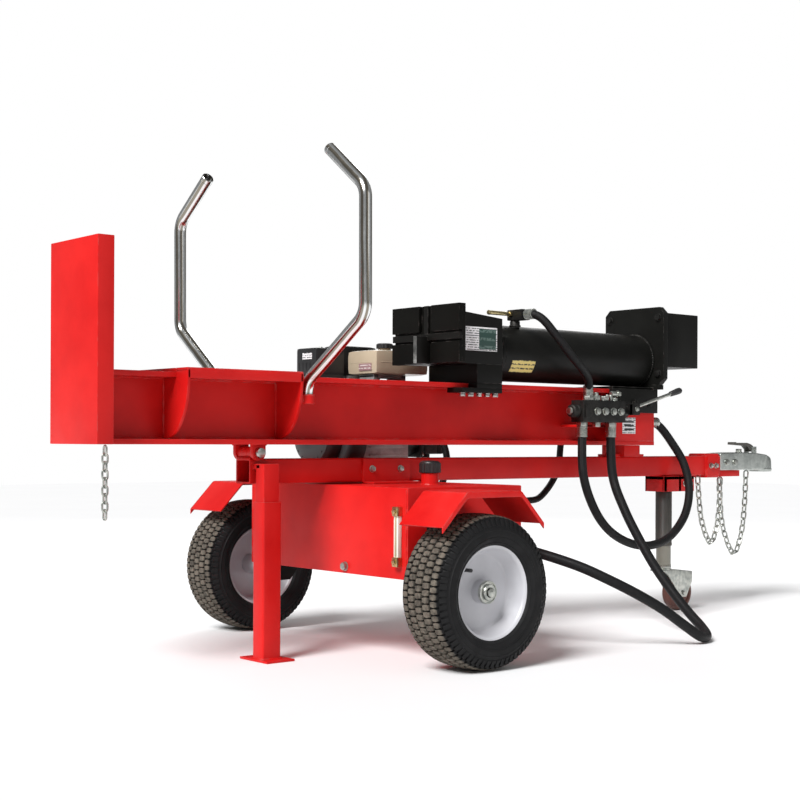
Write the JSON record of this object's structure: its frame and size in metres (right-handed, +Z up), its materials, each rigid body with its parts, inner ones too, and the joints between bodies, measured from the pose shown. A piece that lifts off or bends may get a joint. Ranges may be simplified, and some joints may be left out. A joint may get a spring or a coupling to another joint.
{
  "type": "log splitter",
  "caption": "Towable hydraulic log splitter: a tilting red I-beam with foot plate, ram and catch arms on a wheeled tank frame with engine, pump and hoses.",
  "frame": {"origin": "on the ground below the middle of the machine's bounding box, hoses left out", "axes": "+X along the beam towards the tow coupler, +Z up, +Y away from the side with the control lever"},
  "size_m": [2.875, 1.2124, 1.3874],
  "materials": {
    "red_paint": "gloss red paint, scuffed where logs slide",
    "black_paint": "semi-gloss black paint",
    "dark_paint": "dark grey paint",
    "chrome": "polished chrome",
    "zinc": "dull zinc plate",
    "steel": "ground steel edge",
    "rim_paint": "gloss white paint",
    "tyre": "matt rubber with dusty tread",
    "hose": "matt braided hose cover",
    "cream_paint": "gloss cream paint",
    "cast_aluminium": "sand-cast, dusty",
    "black_plastic": "moulded, light grain",
    "gauge_plastic": "clear front over a pale scale",
    "caster_plastic": "moulded, worn"
  },
  "bodies": {
    "chassis": {"tongue_rail": "red_paint", "oil_tank": "red_paint", "level_gauge": "gauge_plastic", "near_fender": "red_paint", "far_fender": "red_paint", "near_axle": "black_paint", "far_axle": "black_paint", "coupler": "zinc", "near_safety_chain": "zinc", "far_safety_chain": "zinc", "jack_bracket": "red_paint", "jack_sleeve": "dark_paint", "engine_plate": "black_paint", "crankcase": "cast_aluminium", "cylinder_head": "cast_aluminium", "recoil_housing": "black_plastic", "fuel_tank": "cream_paint", "air_cleaner": "black_plastic", "muffler": "black_paint", "gear_pump": "black_paint", "suction_hose": "hose", "return_hose": "hose", "pressure_hose": "hose"},
    "beam": {"splitting_beam": "red_paint", "pivot_pin": "zinc", "foot_plate": "red_paint", "foot_chain": "zinc", "log_table": "red_paint", "near_arm": "chrome", "far_arm": "chrome", "cylinder_barrel": "black_paint", "cylinder_gland": "black_paint", "cylinder_base": "black_paint", "cylinder_saddle": "black_paint", "cylinder_port_elbow": "black_paint", "control_valve": "black_paint", "front_hose": "hose", "loop_hose": "hose"},
    "ram": {"ram_slide": "black_paint", "near_keeper": "black_paint", "far_keeper": "black_paint", "ram_head": "black_paint", "four_way_knife": "steel", "piston_rod": "chrome"},
    "control_lever": {"control_lever": "black_paint"},
    "valve_spool": {"valve_spool": "steel"},
    "stand_leg": {"stand_leg": "red_paint"},
    "leg_clamp_screw": {"leg_clamp_screw": "zinc"},
    "jack_tube": {"jack_tube": "zinc"},
    "caster_fork": {"caster_fork": "zinc"},
    "caster_wheel": {"caster_wheel": "caster_plastic"},
    "near_wheel": {"near_rim": "rim_paint", "near_tyre": "tyre"},
    "far_wheel": {"far_rim": "rim_paint", "far_tyre": "tyre"},
    "coupler_latch": {"coupler_latch": "dark_paint"},
    "tank_filler_cap": {"tank_filler_cap": "black_plastic"},
    "fuel_cap": {"fuel_cap": "black_plastic"},
    "throttle_lever": {"throttle_lever": "black_plastic"},
    "recoil_grip": {"recoil_grip": "black_plastic"}
  },
  "joints": [
    {"name": "beam_tilt", "type": "hinge", "parent": "chassis", "child": "beam", "pos_m": [-0.9105, 0, 0.559], "axis": [0, -1, 0], "range_deg": [0, 90], "deforming": ["return_hose", "pressure_hose"]},
    {"name": "ram_slide", "type": "slide", "parent": "beam", "child": "ram", "axis": [-1, 0, 0], "range_m": [0, 0.525]},
    {"name": "control_lever", "type": "hinge", "parent": "beam", "child": "control_lever", "pos_m": [0.5015, -0.133, 0.7], "axis": [0, -1, 0], "range_deg": [-14, 14], "stiffness_Nm_per_rad": 4},
    {"name": "valve_spool", "type": "slide", "parent": "beam", "child": "valve_spool", "axis": [1, 0, 0], "range_m": [-0.003, 0.003]},
    {"name": "stand_leg", "type": "slide", "parent": "chassis", "child": "stand_leg", "axis": [0, 0, 1], "range_m": [0, 0.085]},
    {"name": "leg_clamp_screw", "type": "hinge", "parent": "stand_leg", "child": "leg_clamp_screw", "pos_m": [-0.8855, -0.0265, 0.35], "axis": [0, 1, 0], "continuous": true},
    {"name": "jack_tube", "type": "slide", "parent": "chassis", "child": "jack_tube", "axis": [0, 0, 1], "range_m": [0, 0.066]},
    {"name": "caster_swivel", "type": "hinge", "parent": "jack_tube", "child": "caster_fork", "pos_m": [0.8365, 0, 0.16], "axis": [0, 0, 1], "continuous": true},
    {"name": "caster_wheel", "type": "hinge", "parent": "caster_fork", "child": "caster_wheel", "pos_m": [0.9105, 0, 0.0625], "axis": [0, 1, 0], "continuous": true},
    {"name": "near_wheel", "type": "hinge", "parent": "chassis", "child": "near_wheel", "pos_m": [-0.5505, -0.519, 0.203], "axis": [0, 1, 0], "continuous": true},
    {"name": "far_wheel", "type": "hinge", "parent": "chassis", "child": "far_wheel", "pos_m": [-0.5505, 0.519, 0.203], "axis": [0, 1, 0], "continuous": true},
    {"name": "coupler_latch", "type": "hinge", "parent": "chassis", "child": "coupler_latch", "pos_m": [1.3345, 0, 0.566], "axis": [0, 1, 0], "range_deg": [0, 60]},
    {"name": "tank_filler_cap", "type": "hinge", "parent": "chassis", "child": "tank_filler_cap", "pos_m": [-0.4355, -0.205, 0.503], "axis": [0, 0, 1], "continuous": true},
    {"name": "fuel_cap", "type": "hinge", "parent": "chassis", "child": "fuel_cap", "pos_m": [-0.2205, 0.26, 0.884], "axis": [0, 0, 1], "continuous": true},
    {"name": "throttle_lever", "type": "hinge", "parent": "chassis", "child": "throttle_lever", "pos_m": [-0.2505, 0.204, 0.66], "axis": [0, 1, 0], "range_deg": [-25, 25]},
    {"name": "recoil_grip", "type": "slide", "parent": "chassis", "child": "recoil_grip", "axis": [0, 0, 1], "range_m": [0, 0.25], "stiffness_N_per_m": 20}
  ],
  "couplings": [
    {"joint": "valve_spool", "follows": "control_lever", "m_per_rad": 0.01}
  ]
}
